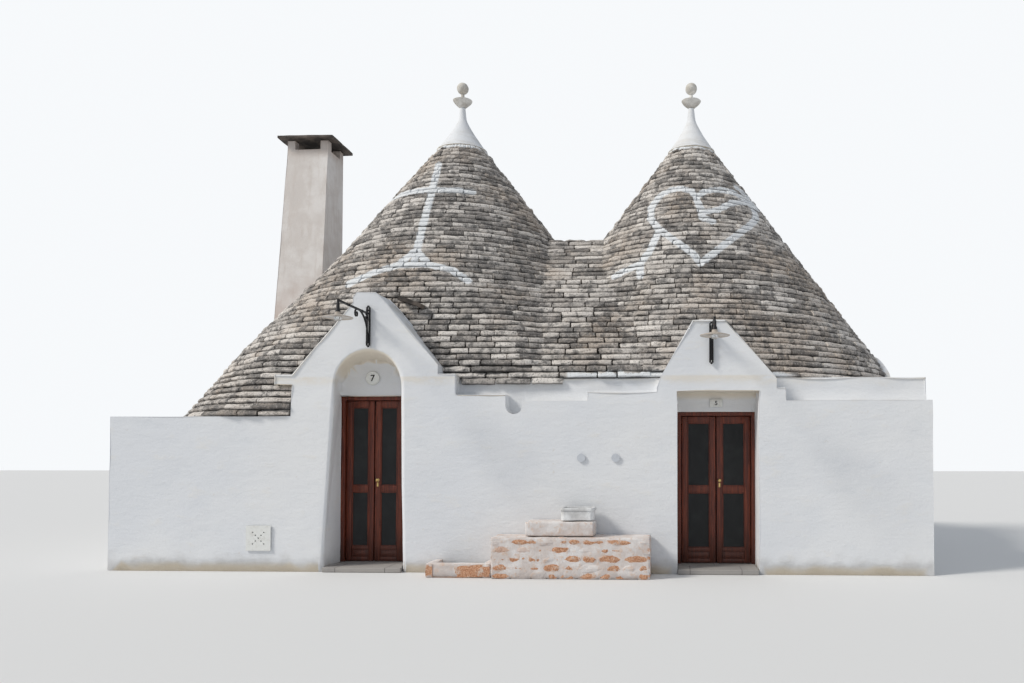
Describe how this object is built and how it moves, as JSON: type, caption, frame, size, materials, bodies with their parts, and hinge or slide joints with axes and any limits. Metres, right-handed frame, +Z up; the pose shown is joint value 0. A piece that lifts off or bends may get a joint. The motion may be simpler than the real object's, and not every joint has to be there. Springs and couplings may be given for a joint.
{
  "type": "double trullo house",
  "caption": "Traditional whitewashed stone house with dry-laid conical slab roofs, white caps and pinnacles, gabled niches and brown double doors that open inwards.",
  "frame": {"origin": "on the ground, at the middle of the walls' footprint", "axes": "+X along the front towards door five, +Y from the front to the rear, +Z up"},
  "size_m": [10.15, 7.749, 7.5713],
  "materials": {
    "whitewash": "matte limewash",
    "roof_slabs": "weathered",
    "warm_stone": "rough",
    "carved_stone": "rough",
    "old_plaster": "weathered",
    "door_wood": "varnished",
    "wire_screen": "matte",
    "brass": "worn",
    "black_iron": "painted",
    "glazed_tile": "gloss",
    "grey_plastic": "matte",
    "lamp_glass": "clear"
  },
  "bodies": {
    "house": {"floor": "warm_stone", "doorsteps": "warm_stone", "front_wall_left": "whitewash", "front_wall_middle": "whitewash", "front_wall_right": "whitewash", "left_party_wall": "whitewash", "right_party_wall": "whitewash", "rear_wall": "whitewash", "cross_wall_front": "whitewash", "cross_wall_rear": "whitewash", "cross_arch": "whitewash", "gable_seven": "whitewash", "gable_five": "whitewash", "lintel_seven": "whitewash", "lintel_five": "whitewash", "parapets": "whitewash", "left_dome": "whitewash", "right_dome": "whitewash", "left_roof": "roof_slabs", "right_roof": "roof_slabs", "left_cap": "whitewash", "right_cap": "whitewash", "left_pinnacle": "carved_stone", "right_pinnacle": "carved_stone", "chimney_shaft": "old_plaster", "chimney_cap": "roof_slabs", "seven_frame": "door_wood", "five_frame": "door_wood", "seven_lamp_bracket": "black_iron", "seven_lamp_shade": "black_iron", "five_lamp_bracket": "black_iron", "five_lamp_shade": "black_iron", "number_tiles": "glazed_tile", "vent_tile": "glazed_tile", "cover_plates": "grey_plastic", "bench_base": "warm_stone", "bench_block": "warm_stone", "bench_basin": "carved_stone", "planter_kerb": "warm_stone"},
    "seven_left_door": {"seven_left_leaf": "door_wood", "seven_left_screens": "wire_screen"},
    "seven_right_door": {"seven_right_leaf": "door_wood", "seven_right_screens": "wire_screen", "seven_knob": "brass"},
    "five_left_door": {"five_left_leaf": "door_wood", "five_left_screens": "wire_screen"},
    "five_right_door": {"five_right_leaf": "door_wood", "five_right_screens": "wire_screen", "five_knob": "brass"}
  },
  "joints": [
    {"name": "seven_left_hinge", "type": "hinge", "parent": "house", "child": "seven_left_door", "pos_m": [-2.289, -2.69, 1], "axis": [0, 0, 1], "range_deg": [0, 90]},
    {"name": "seven_right_hinge", "type": "hinge", "parent": "house", "child": "seven_right_door", "pos_m": [-1.535, -2.69, 1], "axis": [0, 0, -1], "range_deg": [0, 90]},
    {"name": "five_left_hinge", "type": "hinge", "parent": "house", "child": "five_left_door", "pos_m": [2.067, -2.69, 1], "axis": [0, 0, 1], "range_deg": [0, 90]},
    {"name": "five_right_hinge", "type": "hinge", "parent": "house", "child": "five_right_door", "pos_m": [2.953, -2.69, 1], "axis": [0, 0, -1], "range_deg": [0, 90]}
  ]
}
